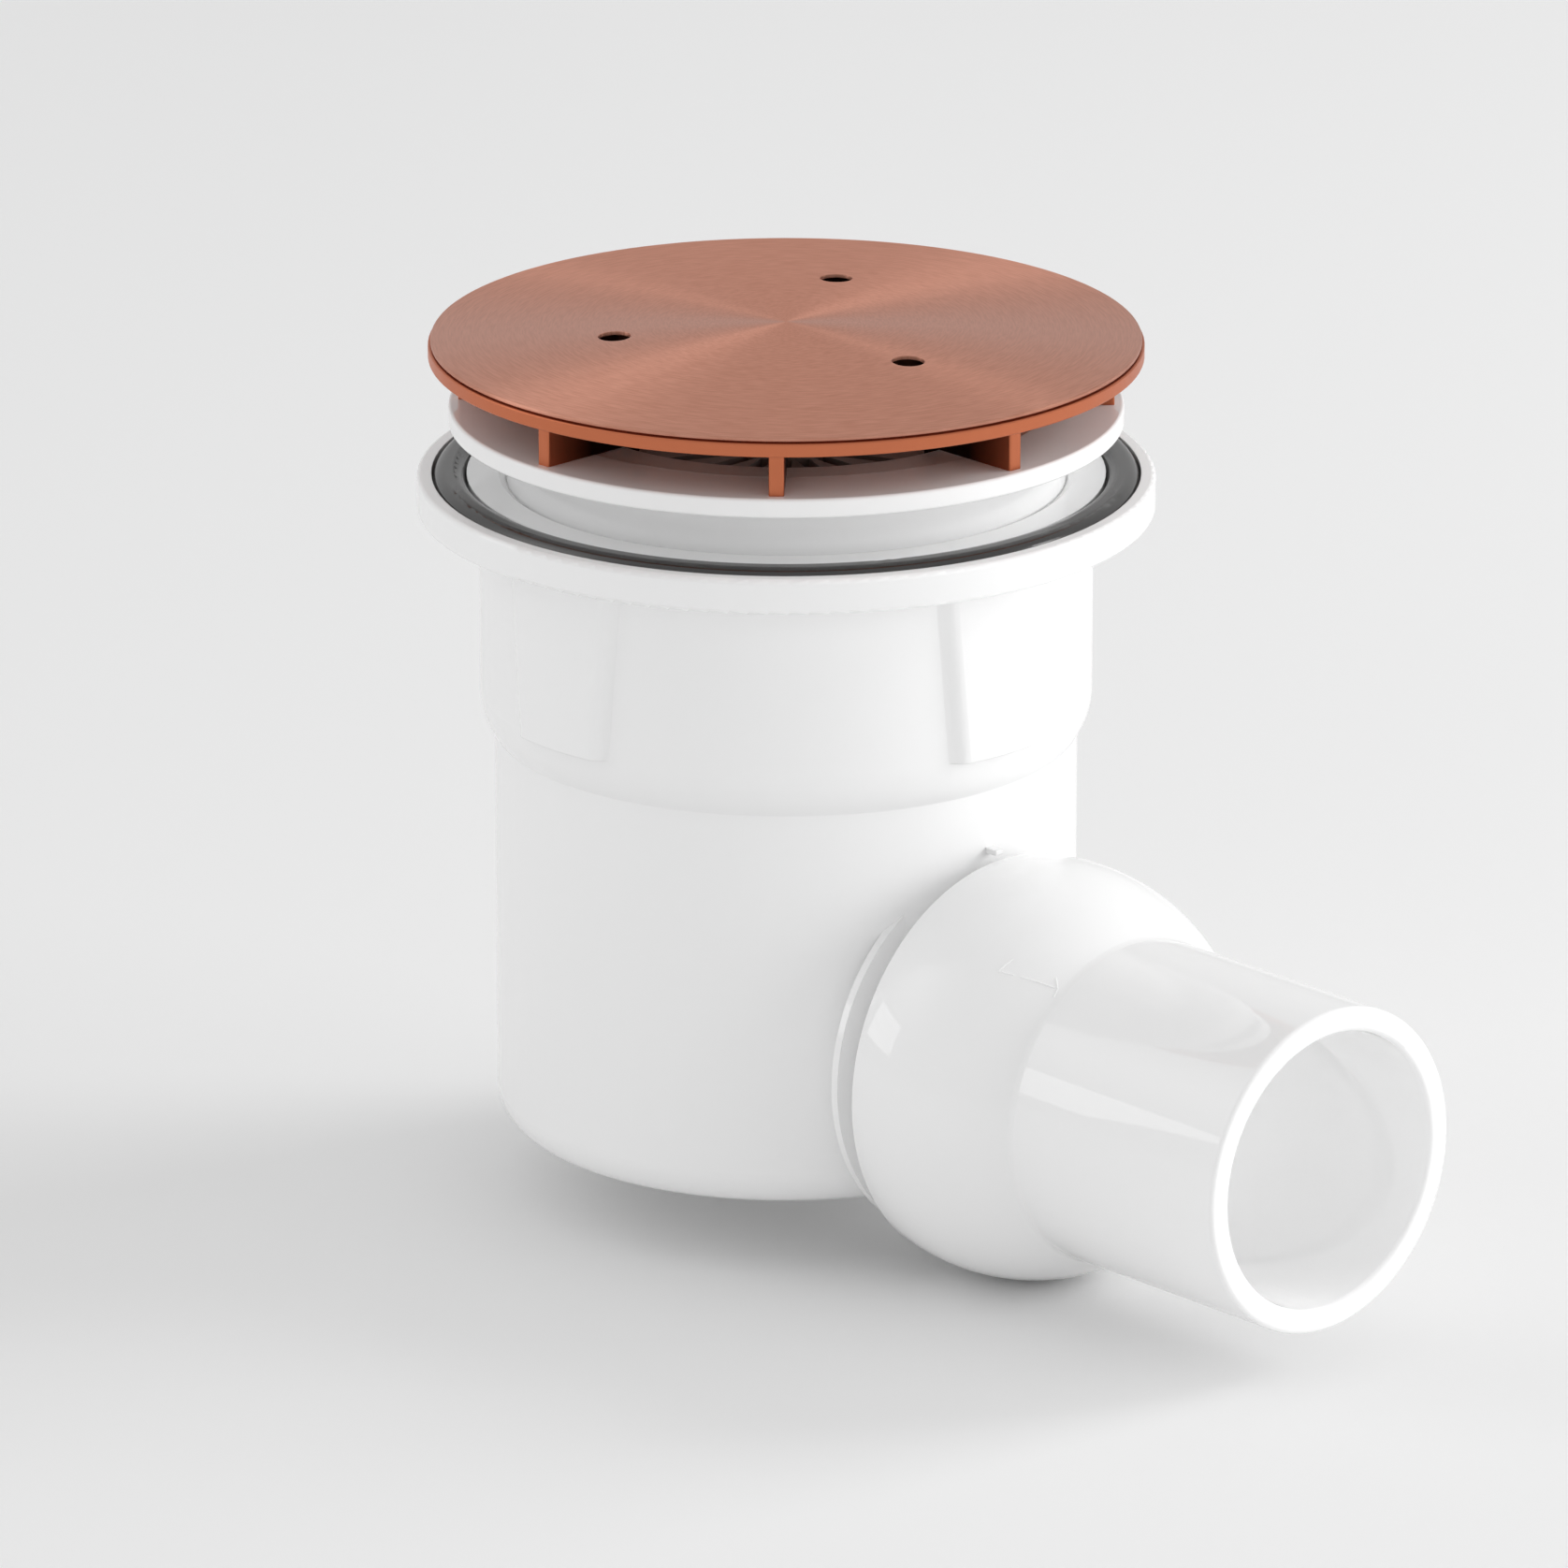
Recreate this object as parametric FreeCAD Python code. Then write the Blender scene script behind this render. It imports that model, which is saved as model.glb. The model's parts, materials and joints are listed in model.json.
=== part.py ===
import FreeCAD, Part
import math
import os

os.makedirs("parts", exist_ok=True)

# Shower trap for a 90 mm tray hole, in millimetres.
# The origin is the centre of the cup's flat base, +Z is up and +X points along the outlet.

# Neck of the clamping flange, which drives what surrounds it: it passes through the 90 mm tray hole
NECK_RADIUS = 42.6
NECK_FIT = 0.15
NECK_LENGTH = 27.0
NECK_WALL = 3.0
NECK_ROOT = 1.0
NECK_RING_HEIGHT = 4.0
NECK_RING_GROOVE = 1.3

# Trap body: cup, collar and tray flange in one moulding
COLLAR_WALL = 4.05
COLLAR_BOTTOM = 69.8
CUP_STEP = 2.2
CUP_WALL = 3.0
CUP_BASE = 3.2
CUP_CORNER = 5.8
SHOULDER_DROP = 6.7
FLANGE_TOP = 103.7
FLANGE_THICKNESS = 5.5
FLANGE_LIP = 2.25
FLANGE_EDGE = 0.7
FLANGE_ROOT = 1.5
SOCKET_DEPTH = 29.5
SOCKET_CHAMFER = 2.0
LIP_SLOPE_WIDTH = 1.0
LIP_SLOPE_DROP = 0.6

# Four grip pads round the collar, narrower towards the bottom
PAD_COUNT = 4
PAD_HEIGHT = 1.6
PAD_TOP_HALF_ANGLE = 11.5
PAD_BOTTOM_HALF_ANGLE = 8.3
PAD_FLANK_ANGLE = 4.6
PAD_SINK = 0.1
PAD_MARK_RADIUS = 0.7

# Gasket groove and the rubber tray gasket
GROOVE_START = 1.8
GROOVE_WIDTH = 5.35
GROOVE_DEPTH = 2.4
GASKET_GAP = 0.12
GASKET_CROWN = 0.8
GASKET_SHOULDER = 2.0

# Clamping flange above the tray; a shelf in its throat carries the dip tube
TRAY_GAP = 7.96
RIM_OVERHANG = 8.7
RIM_THICKNESS = 3.06
RIM_EDGE = 0.5
THROAT_WALL = 3.0
SHELF_DEPTH = 16.7
SHELF_THICKNESS = 3.0
SHELF_WIDTH = 5.0

# Dip tube with its funnel
FUNNEL_FIT = 0.3
FUNNEL_DROP = 0.5
FUNNEL_RIM_WIDTH = 6.3
FUNNEL_MOUTH_DEPTH = 4.0
FUNNEL_CONE_DROP = 8.7
FUNNEL_WALL = 2.0
SKIRT_WALL = 2.6
SKIRT_RING_HEIGHT = 5.0
SKIRT_RING_GROOVE = 1.2
TUBE_BORE_RADIUS = 18.0
TUBE_WALL = 2.0
RING_PLAY = 0.02

# Seal cup that hangs from three vanes of the dip tube
WATER_SEAL = 50.0
SEAL_CUP_GAP = 10.6
SEAL_CUP_WALL = 2.0
SEAL_CUP_RIM = 72.0
SEAL_CUP_FLOOR_GAP = 6.0
SEAL_CUP_CORNER = 4.0
BEAD_WIDTH = 0.9
BEAD_HEIGHT = 2.0
VANE_COUNT = 3
VANE_THICKNESS = 2.0
VANE_LENGTH = 22.0
VANE_CLEARANCE = 0.3
HOOK_HEIGHT = 3.5
HOOK_WIDTH = 1.4
HOOK_FIT = 0.2

# Strainer on the funnel's cone
STRAINER_OVERHANG = 7.0
STRAINER_THICKNESS = 1.6
STRAINER_PLAY = 0.1
STRAINER_SLOTS = 16
STRAINER_SLOT_WIDTH = 2.2
STRAINER_SLOT_START = 7.0
STRAINER_BORDER = 4.0
KNOB_RADIUS = 3.2
KNOB_HEIGHT = 5.0

# Cover: domed sheet plate on a finned carrier
CARRIER_OVERHANG = 3.0
CARRIER_STEP = 0.3
CARRIER_STEP_WIDTH = 1.3
CARRIER_RIM_HEIGHT = 2.1
CARRIER_THICKNESS = 2.0
COVER_SETBACK = 0.4
COVER_RISE = 2.15
COVER_SHEET = 0.54
COVER_EDGE = 0.25
COVER_HEIGHT = 7.33
COVER_HOLE_RADIUS = 2.5
COVER_HOLE_SETBACK = 4.74
COVER_HOLE_COUNT = 3
CARRIER_HOLE_MARGIN = 2.0
FIN_COUNT = 8
FIN_THICKNESS = 2.3
FIN_SETBACK = 1.5
FIN_TAB_FIT = 0.3
FIN_TAB_WIDTH = 1.3
FIN_TAB_DEPTH = 3.4
FIN_EDGE = 0.3

# Ball on the body's outlet neck, and the stop ring behind it
BALL_RADIUS = 28.0
BALL_CLEARANCE = 10.0
BALL_FRONT = 13.9
OUTLET_HEIGHT = 21.55
OUTLET_NECK_STEP = 3.8
OUTLET_NECK_WALL = 2.7
OUTLET_NECK_ROOT = 8.6
STOP_HEIGHT = 1.0
STOP_SETBACK = 12.6
STOP_THICKNESS = 1.4
TAB_WIDTH = 1.5
TAB_REACH = 2.2
TAB_HEIGHT = 0.8
TAB_CLEARANCE = 0.3

# Swivelling outlet: domed socket and 50 mm spigot, with what lies between it and the ball
SPIGOT_RADIUS = 25.0
SPIGOT_WALL = 3.75
SPIGOT_REACH = 62.5
SPIGOT_EDGE = 0.7
DOME_GAP = 1.7
DOME_WALL = 2.6
DOME_RIM = 6.8
DOME_BLEND = 1.6
RUNNING_FIT = 0.1
SEAL_SECTION = 1.2
SEAL_STATION = 8.3
SEAL_NIP = 0.06
SLIP_BACK = -1.5
SLIP_FRONT = 4.2
RETAINER_WIDTH = 1.5
RETAINER_LIP = 0.8
RETAINER_DEPTH = 0.9
RETAINER_GAP = 5.0
RETAINER_PLAY = 0.05

# Radii that follow from the neck, from the inside out
SOCKET_RADIUS = NECK_RADIUS + NECK_FIT
COLLAR_RADIUS = SOCKET_RADIUS + COLLAR_WALL
PAD_RADIUS = COLLAR_RADIUS + PAD_HEIGHT
CUP_RADIUS = COLLAR_RADIUS - CUP_STEP
CUP_BORE = CUP_RADIUS - CUP_WALL
GROOVE_INNER_RADIUS = COLLAR_RADIUS + GROOVE_START
GROOVE_OUTER_RADIUS = GROOVE_INNER_RADIUS + GROOVE_WIDTH
FLANGE_RADIUS = GROOVE_OUTER_RADIUS + FLANGE_LIP
RIM_RADIUS = NECK_RADIUS + RIM_OVERHANG
THROAT_RADIUS = NECK_RADIUS - THROAT_WALL
SHELF_HOLE_RADIUS = THROAT_RADIUS - SHELF_WIDTH
SKIRT_RADIUS = THROAT_RADIUS - FUNNEL_FIT
FUNNEL_MOUTH_RADIUS = SKIRT_RADIUS - FUNNEL_RIM_WIDTH
TUBE_RADIUS = TUBE_BORE_RADIUS + TUBE_WALL
STRAINER_RADIUS = TUBE_BORE_RADIUS + STRAINER_OVERHANG
SEAL_CUP_RADIUS = CUP_BORE - SEAL_CUP_GAP
SEAL_CUP_BORE = SEAL_CUP_RADIUS - SEAL_CUP_WALL
BEAD_RADIUS = SEAL_CUP_RADIUS + BEAD_WIDTH
CARRIER_RADIUS = RIM_RADIUS + CARRIER_OVERHANG
COVER_RADIUS = CARRIER_RADIUS - COVER_SETBACK
FIN_OUTER_RADIUS = RIM_RADIUS - FIN_SETBACK
FIN_TAB_RADIUS = FUNNEL_MOUTH_RADIUS - FIN_TAB_FIT
FIN_INNER_RADIUS = FIN_TAB_RADIUS - FIN_TAB_WIDTH
COVER_HOLE_CIRCLE = FIN_INNER_RADIUS - COVER_HOLE_SETBACK
DOME_SPHERE = (COVER_RADIUS ** 2 + COVER_RISE ** 2) / (2 * COVER_RISE)

# Heights that follow from the flange's top and from the base
FLANGE_BOTTOM = FLANGE_TOP - FLANGE_THICKNESS
SOCKET_BOTTOM = FLANGE_TOP - SOCKET_DEPTH
RIM_BOTTOM = FLANGE_TOP + TRAY_GAP
RIM_TOP = RIM_BOTTOM + RIM_THICKNESS
NECK_BOTTOM = RIM_BOTTOM - NECK_LENGTH
SHELF_TOP = RIM_TOP - SHELF_DEPTH
FUNNEL_TOP = RIM_TOP - FUNNEL_DROP
MOUTH_BOTTOM = FUNNEL_TOP - FUNNEL_MOUTH_DEPTH
CONE_BOTTOM = MOUTH_BOTTOM - FUNNEL_CONE_DROP
TUBE_BOTTOM = SEAL_CUP_RIM - WATER_SEAL
CARRIER_BOTTOM = RIM_TOP + COVER_HEIGHT
PLATE_BOTTOM = CARRIER_BOTTOM + CARRIER_RIM_HEIGHT + CARRIER_STEP
PLATE_EDGE_TOP = PLATE_BOTTOM + COVER_SHEET
PLATE_CROWN = PLATE_EDGE_TOP + COVER_RISE

# Places and radii of the outlet
BALL_CENTRE = CUP_RADIUS + BALL_CLEARANCE
STOP_RADIUS = BALL_RADIUS + STOP_HEIGHT
OUTLET_NECK_RADIUS = BALL_RADIUS - OUTLET_NECK_STEP
OUTLET_NECK_BORE = OUTLET_NECK_RADIUS - OUTLET_NECK_WALL
OUTLET_NECK_START = CUP_BORE - OUTLET_NECK_ROOT
DOME_BORE = BALL_RADIUS + DOME_GAP
DOME_RADIUS = DOME_BORE + DOME_WALL
SPIGOT_BORE = SPIGOT_RADIUS - SPIGOT_WALL

ORIGIN = FreeCAD.Vector(0, 0, 0)
UP = FreeCAD.Vector(0, 0, 1)
BEYOND = 2.0
MATCH = 0.01
FULL_TURN = 360.0


def rounded_corner(before, corner, after):
    """The two ends and the middle of the arc that rounds one corner of an outline."""
    here = FreeCAD.Vector(corner[0], 0, corner[1])
    back = (FreeCAD.Vector(before[0], 0, before[1]) - here).normalize()
    ahead = (FreeCAD.Vector(after[0], 0, after[1]) - here).normalize()
    half = back.getAngle(ahead) / 2
    radius = corner[2]
    reach = radius / math.tan(half)
    inward = (back + ahead).normalize()
    middle = here + inward * (radius / math.sin(half) - radius)
    return here + back * reach, middle, here + ahead * reach


def turned(corners):
    """A solid of revolution about Z; each corner is (radius, height) or (radius, height, rounding)."""
    edges = []
    first = None
    last = None
    for index, corner in enumerate(corners):
        before = corners[index - 1]
        after = corners[(index + 1) % len(corners)]
        if len(corner) == 3:
            start, middle, end = rounded_corner(before, corner, after)
        else:
            start = FreeCAD.Vector(corner[0], 0, corner[1])
            middle = None
            end = start
        if last is not None:
            edges.append(Part.LineSegment(last, start).toShape())
        if middle is not None:
            edges.append(Part.Arc(start, middle, end).toShape())
        first = first or start
        last = end
    edges.append(Part.LineSegment(last, first).toShape())
    return Part.Face(Part.Wire(edges)).revolve(ORIGIN, UP, FULL_TURN)


def cylinder(radius, low, high):
    """A round bar on the Z axis between two heights."""
    return Part.makeCylinder(radius, high - low, FreeCAD.Vector(0, 0, low))


def ball_zone(radius, low, high):
    """The slice of a ball about the origin between two heights."""
    low_angle = math.degrees(math.asin(max(-1.0, low / radius)))
    high_angle = math.degrees(math.asin(min(1.0, high / radius)))
    return Part.makeSphere(radius, ORIGIN, UP, low_angle, high_angle, FULL_TURN)


def turn(shape, angle):
    """A copy turned about the Z axis."""
    copy = shape.copy()
    copy.rotate(ORIGIN, UP, angle)
    return copy


def round_ring(centre_radius, section_radius, height):
    """A rubber ring of round section."""
    return Part.makeTorus(centre_radius, section_radius, FreeCAD.Vector(0, 0, height))


def along_outlet(shape):
    """Lay a piece that was drawn about Z on the outlet's axis, with its origin at the ball's centre."""
    copy = shape.copy()
    copy.rotate(ORIGIN, FreeCAD.Vector(0, 1, 0), 90)
    copy.translate(FreeCAD.Vector(BALL_CENTRE, 0, OUTLET_HEIGHT))
    return copy


def ring_edges(shape, radius, height):
    """The circular edges about Z that have this radius and height."""
    found = []
    for edge in shape.Edges:
        if not edge.Degenerated and isinstance(edge.Curve, Part.Circle):
            off_height = abs(edge.Curve.Center.z - height)
            off_radius = abs(edge.Curve.Radius - radius)
            if max(off_height, off_radius) < MATCH:
                found.append(edge)
    return found


def pad_outline(half_angle, height):
    """A grip pad's outline at one height: outer arc, two soft S-shaped flanks and an arc inside the collar."""
    def place(radius, degrees):
        angle = math.radians(degrees)
        return FreeCAD.Vector(radius * math.cos(angle), radius * math.sin(angle), height)

    def flank(side):
        """The flank's curve leaves the pad's face and meets the collar without a sharp edge."""
        middle_angle = half_angle + PAD_FLANK_ANGLE / 2
        curve = Part.BezierCurve()
        curve.setPoles([place(PAD_RADIUS, side * half_angle), place(PAD_RADIUS, side * middle_angle),
                        place(foot_radius, side * middle_angle), place(foot_radius, side * foot_angle)])
        return curve.toShape()
    foot_radius = COLLAR_RADIUS - PAD_SINK
    foot_angle = half_angle + PAD_FLANK_ANGLE
    root_radius = COLLAR_RADIUS - COLLAR_WALL / 2
    outer = Part.Arc(place(PAD_RADIUS, -half_angle), place(PAD_RADIUS, 0), place(PAD_RADIUS, half_angle))
    inner = Part.Arc(place(root_radius, foot_angle), place(root_radius, 0), place(root_radius, -foot_angle))
    side_in = Part.LineSegment(place(foot_radius, foot_angle), place(root_radius, foot_angle))
    side_out = Part.LineSegment(place(root_radius, -foot_angle), place(foot_radius, -foot_angle))
    return Part.Wire([outer.toShape(), flank(1), side_in.toShape(), inner.toShape(), side_out.toShape(), flank(-1)])


def trap_body():
    """Cup, shoulder, collar with pads, tray flange with its groove, outlet neck, stop ring and ball."""
    collar_foot = COLLAR_BOTTOM - SHOULDER_DROP
    step = COLLAR_RADIUS - CUP_RADIUS
    shoulder_radius = (SHOULDER_DROP ** 2 + step ** 2) / (2 * step)
    sweep = math.asin(SHOULDER_DROP / shoulder_radius) / 2
    shoulder_middle = FreeCAD.Vector(COLLAR_RADIUS - shoulder_radius * (1 - math.cos(sweep)), 0,
                                     COLLAR_BOTTOM - shoulder_radius * math.sin(sweep))
    shell = turned([
        (0, 0), (CUP_RADIUS, 0, CUP_CORNER), (CUP_RADIUS, collar_foot), (0, collar_foot)])
    collar = turned([
        (0, COLLAR_BOTTOM), (COLLAR_RADIUS, COLLAR_BOTTOM), (COLLAR_RADIUS, FLANGE_BOTTOM, FLANGE_ROOT),
        (FLANGE_RADIUS, FLANGE_BOTTOM, FLANGE_EDGE), (FLANGE_RADIUS, FLANGE_TOP, FLANGE_EDGE),
        (0, FLANGE_TOP)])
    shoulder_arc = Part.Arc(FreeCAD.Vector(COLLAR_RADIUS, 0, COLLAR_BOTTOM), shoulder_middle,
                            FreeCAD.Vector(CUP_RADIUS, 0, collar_foot)).toShape()
    shoulder_sides = Part.makePolygon([
        FreeCAD.Vector(CUP_RADIUS, 0, collar_foot), FreeCAD.Vector(0, 0, collar_foot),
        FreeCAD.Vector(0, 0, COLLAR_BOTTOM), FreeCAD.Vector(COLLAR_RADIUS, 0, COLLAR_BOTTOM)])
    shoulder = Part.Face(Part.Wire([shoulder_arc] + shoulder_sides.Edges)).revolve(ORIGIN, UP, FULL_TURN)
    pad = Part.makeLoft([pad_outline(PAD_BOTTOM_HALF_ANGLE, COLLAR_BOTTOM),
                         pad_outline(PAD_TOP_HALF_ANGLE, FLANGE_BOTTOM + FLANGE_EDGE)], True, True)
    pads = [turn(pad, FULL_TURN * index / PAD_COUNT) for index in range(PAD_COUNT)]
    neck_start = OUTLET_NECK_START - BALL_CENTRE
    stop_back = -STOP_SETBACK - STOP_THICKNESS
    neck = turned([
        (0, neck_start), (OUTLET_HEIGHT, neck_start),
        (OUTLET_NECK_RADIUS, neck_start + OUTLET_NECK_RADIUS - OUTLET_HEIGHT),
        (OUTLET_NECK_RADIUS, -STOP_SETBACK), (0, -STOP_SETBACK)])
    stop = cylinder(STOP_RADIUS, stop_back, -STOP_SETBACK)
    ball = ball_zone(BALL_RADIUS, -STOP_SETBACK - STOP_THICKNESS / 2, BALL_FRONT)
    outlet_side = [along_outlet(piece) for piece in (neck, stop, ball)]
    tab_base = OUTLET_HEIGHT + math.sqrt(DOME_RADIUS ** 2 - DOME_RIM ** 2) + TAB_CLEARANCE
    tab = Part.makeBox(CUP_WALL / 2 + TAB_REACH, TAB_WIDTH, TAB_HEIGHT,
                       FreeCAD.Vector(CUP_RADIUS - CUP_WALL / 2, -TAB_WIDTH / 2, tab_base))
    solid = shell.multiFuse([shoulder, collar, tab] + pads + outlet_side)
    cavity = turned([
        (0, CUP_BASE), (CUP_BORE, CUP_BASE, CUP_CORNER - CUP_WALL), (CUP_BORE, SOCKET_BOTTOM - SOCKET_CHAMFER),
        (SOCKET_RADIUS, SOCKET_BOTTOM), (SOCKET_RADIUS, FLANGE_TOP - LIP_SLOPE_DROP),
        (SOCKET_RADIUS + LIP_SLOPE_WIDTH, FLANGE_TOP), (SOCKET_RADIUS + LIP_SLOPE_WIDTH, FLANGE_TOP + BEYOND),
        (0, FLANGE_TOP + BEYOND)])
    groove = cylinder(GROOVE_OUTER_RADIUS, FLANGE_TOP - GROOVE_DEPTH, FLANGE_TOP + BEYOND).cut(
        cylinder(GROOVE_INNER_RADIUS, FLANGE_TOP - GROOVE_DEPTH, FLANGE_TOP + BEYOND))
    bore = along_outlet(cylinder(OUTLET_NECK_BORE, neck_start + CUP_WALL, BALL_FRONT + BEYOND))
    mark = Part.makeCylinder(PAD_MARK_RADIUS, (PAD_RADIUS - COLLAR_RADIUS) / 2,
                             FreeCAD.Vector(PAD_RADIUS, 0, FLANGE_BOTTOM - FLANGE_ROOT - PAD_MARK_RADIUS),
                             FreeCAD.Vector(-1, 0, 0))
    return solid.cut([cavity, groove, bore, mark]).removeSplitter()


def tray_gasket():
    """Rubber ring with a rounded top, which lies in the flange's groove and presses on the tray's underside."""
    inner = GROOVE_INNER_RADIUS + GASKET_GAP
    outer = GROOVE_OUTER_RADIUS - GASKET_GAP
    floor = FLANGE_TOP - GROOVE_DEPTH
    crown = FLANGE_TOP + GASKET_CROWN
    return turned([
        (inner, floor), (outer, floor), (outer, crown, GASKET_SHOULDER), (inner, crown, GASKET_SHOULDER)])


def clamp_flange():
    """Flange with a neck that passes through the tray hole; a shelf in its throat carries the dip tube."""
    lower_bore = NECK_RADIUS - NECK_WALL
    ring_floor = NECK_RADIUS - NECK_RING_GROOVE
    ring_low = NECK_BOTTOM + NECK_RING_HEIGHT - NECK_RING_GROOVE
    ring_high = NECK_BOTTOM + NECK_RING_HEIGHT + NECK_RING_GROOVE
    return turned([
        (THROAT_RADIUS, RIM_TOP, RIM_EDGE), (THROAT_RADIUS, SHELF_TOP), (SHELF_HOLE_RADIUS, SHELF_TOP, RIM_EDGE),
        (SHELF_HOLE_RADIUS, SHELF_TOP - SHELF_THICKNESS), (lower_bore, SHELF_TOP - SHELF_THICKNESS),
        (lower_bore, NECK_BOTTOM), (NECK_RADIUS, NECK_BOTTOM, RIM_EDGE), (NECK_RADIUS, ring_low),
        (ring_floor, ring_low), (ring_floor, ring_high), (NECK_RADIUS, ring_high),
        (NECK_RADIUS, RIM_BOTTOM, NECK_ROOT), (RIM_RADIUS, RIM_BOTTOM, RIM_EDGE),
        (RIM_RADIUS, RIM_TOP, RIM_EDGE)])


def neck_ring():
    """Rubber ring in the neck's groove, which seals the neck in the body's socket."""
    section = (SOCKET_RADIUS - NECK_RADIUS + NECK_RING_GROOVE) / 2 - RING_PLAY
    centre = NECK_RADIUS - NECK_RING_GROOVE + section + RING_PLAY
    return round_ring(centre, section, NECK_BOTTOM + NECK_RING_HEIGHT)


def hook_vane():
    """A flat vane between dip tube and seal cup, with a hook that grips the bead on the cup's rim."""
    root = TUBE_RADIUS - TUBE_WALL / 2
    inside = SEAL_CUP_BORE - VANE_CLEARANCE
    outside = BEAD_RADIUS + HOOK_FIT
    barb_top = SEAL_CUP_RIM - BEAD_HEIGHT - HOOK_FIT
    barb_inner = SEAL_CUP_RADIUS + HOOK_FIT
    corners = [
        (root, SEAL_CUP_RIM - VANE_LENGTH), (inside, SEAL_CUP_RIM - VANE_LENGTH), (inside, SEAL_CUP_RIM),
        (outside, SEAL_CUP_RIM), (outside, barb_top), (barb_inner, barb_top),
        (barb_inner, barb_top - HOOK_WIDTH), (outside + HOOK_WIDTH, barb_top - HOOK_WIDTH),
        (outside + HOOK_WIDTH, SEAL_CUP_RIM + HOOK_HEIGHT), (root, SEAL_CUP_RIM + HOOK_HEIGHT + TUBE_WALL)]
    points = [FreeCAD.Vector(radius, -VANE_THICKNESS / 2, height) for radius, height in corners]
    face = Part.Face(Part.makePolygon(points + points[:1]))
    return face.extrude(FreeCAD.Vector(0, VANE_THICKNESS, 0))


def dip_tube():
    """Funnel and dip tube in one moulding: its skirt stands on the clamping flange's shelf."""
    skirt_bore = SKIRT_RADIUS - SKIRT_WALL
    ring_low = SHELF_TOP + SKIRT_RING_HEIGHT - SKIRT_RING_GROOVE
    ring_high = SHELF_TOP + SKIRT_RING_HEIGHT + SKIRT_RING_GROOVE
    ring_floor = SKIRT_RADIUS - SKIRT_RING_GROOVE
    funnel = turned([
        (TUBE_BORE_RADIUS, TUBE_BOTTOM), (TUBE_RADIUS, TUBE_BOTTOM), (TUBE_RADIUS, CONE_BOTTOM - FUNNEL_WALL),
        (FUNNEL_MOUTH_RADIUS, MOUTH_BOTTOM - FUNNEL_WALL), (skirt_bore, MOUTH_BOTTOM - FUNNEL_WALL),
        (skirt_bore, SHELF_TOP), (SKIRT_RADIUS, SHELF_TOP), (SKIRT_RADIUS, ring_low), (ring_floor, ring_low),
        (ring_floor, ring_high), (SKIRT_RADIUS, ring_high), (SKIRT_RADIUS, FUNNEL_TOP, RIM_EDGE),
        (FUNNEL_MOUTH_RADIUS, FUNNEL_TOP, RIM_EDGE), (FUNNEL_MOUTH_RADIUS, MOUTH_BOTTOM),
        (TUBE_BORE_RADIUS, CONE_BOTTOM, FUNNEL_WALL)])
    vane = hook_vane()
    vanes = [turn(vane, FULL_TURN * (index + 0.5) / VANE_COUNT) for index in range(VANE_COUNT)]
    return funnel.multiFuse(vanes).removeSplitter()


def skirt_ring():
    """Rubber ring in the groove of the funnel's skirt."""
    section = (THROAT_RADIUS - SKIRT_RADIUS + SKIRT_RING_GROOVE) / 2 - RING_PLAY
    centre = SKIRT_RADIUS - SKIRT_RING_GROOVE + section + RING_PLAY
    return round_ring(centre, section, SHELF_TOP + SKIRT_RING_HEIGHT)


def seal_cup():
    """Inner cup that holds the water seal round the foot of the dip tube."""
    bottom = CUP_BASE + SEAL_CUP_FLOOR_GAP
    bead_bottom = SEAL_CUP_RIM - BEAD_HEIGHT
    return turned([
        (0, bottom), (SEAL_CUP_RADIUS, bottom, SEAL_CUP_CORNER), (SEAL_CUP_RADIUS, bead_bottom),
        (BEAD_RADIUS, bead_bottom), (BEAD_RADIUS, SEAL_CUP_RIM), (SEAL_CUP_BORE, SEAL_CUP_RIM),
        (SEAL_CUP_BORE, bottom + SEAL_CUP_WALL, SEAL_CUP_CORNER - SEAL_CUP_WALL), (0, bottom + SEAL_CUP_WALL)])


def strainer():
    """Slotted disc with a lifting knob, which lies on the funnel's cone and catches hair."""
    slope = FUNNEL_CONE_DROP / (FUNNEL_MOUTH_RADIUS - TUBE_BORE_RADIUS)
    seat = CONE_BOTTOM + slope * (STRAINER_RADIUS - TUBE_BORE_RADIUS) + STRAINER_PLAY
    top = seat + STRAINER_THICKNESS
    edge_radius = STRAINER_RADIUS + STRAINER_THICKNESS / slope / 2
    disc = turned([
        (0, seat), (STRAINER_RADIUS, seat), (edge_radius, seat + STRAINER_THICKNESS / 2), (edge_radius, top),
        (KNOB_RADIUS, top), (KNOB_RADIUS, top + KNOB_HEIGHT, KNOB_RADIUS / 2), (0, top + KNOB_HEIGHT)])
    slot = Part.makeBox(STRAINER_RADIUS - STRAINER_BORDER - STRAINER_SLOT_START, STRAINER_SLOT_WIDTH,
                        STRAINER_THICKNESS + 2 * BEYOND,
                        FreeCAD.Vector(STRAINER_SLOT_START, -STRAINER_SLOT_WIDTH / 2, seat - BEYOND))
    slots = [turn(slot, FULL_TURN * index / STRAINER_SLOTS) for index in range(STRAINER_SLOTS)]
    return disc.cut(slots)


def cover_holes(radius):
    """The three round holes that pass through plate and carrier."""
    holes = []
    for index in range(COVER_HOLE_COUNT):
        hole = Part.makeCylinder(radius, PLATE_CROWN - RIM_TOP + BEYOND,
                                 FreeCAD.Vector(COVER_HOLE_CIRCLE, 0, RIM_TOP))
        holes.append(turn(hole, FULL_TURN * index / COVER_HOLE_COUNT))
    return holes


def domed_disc(radius, crown, depth, low):
    """A disc with a flat underside at `low` whose top follows the cover's dome, `depth` under it."""
    centre = FreeCAD.Vector(0, 0, crown - DOME_SPHERE)
    dome = Part.makeSphere(DOME_SPHERE - depth, centre)
    return cylinder(radius, low, crown + BEYOND).common(dome)


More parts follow.
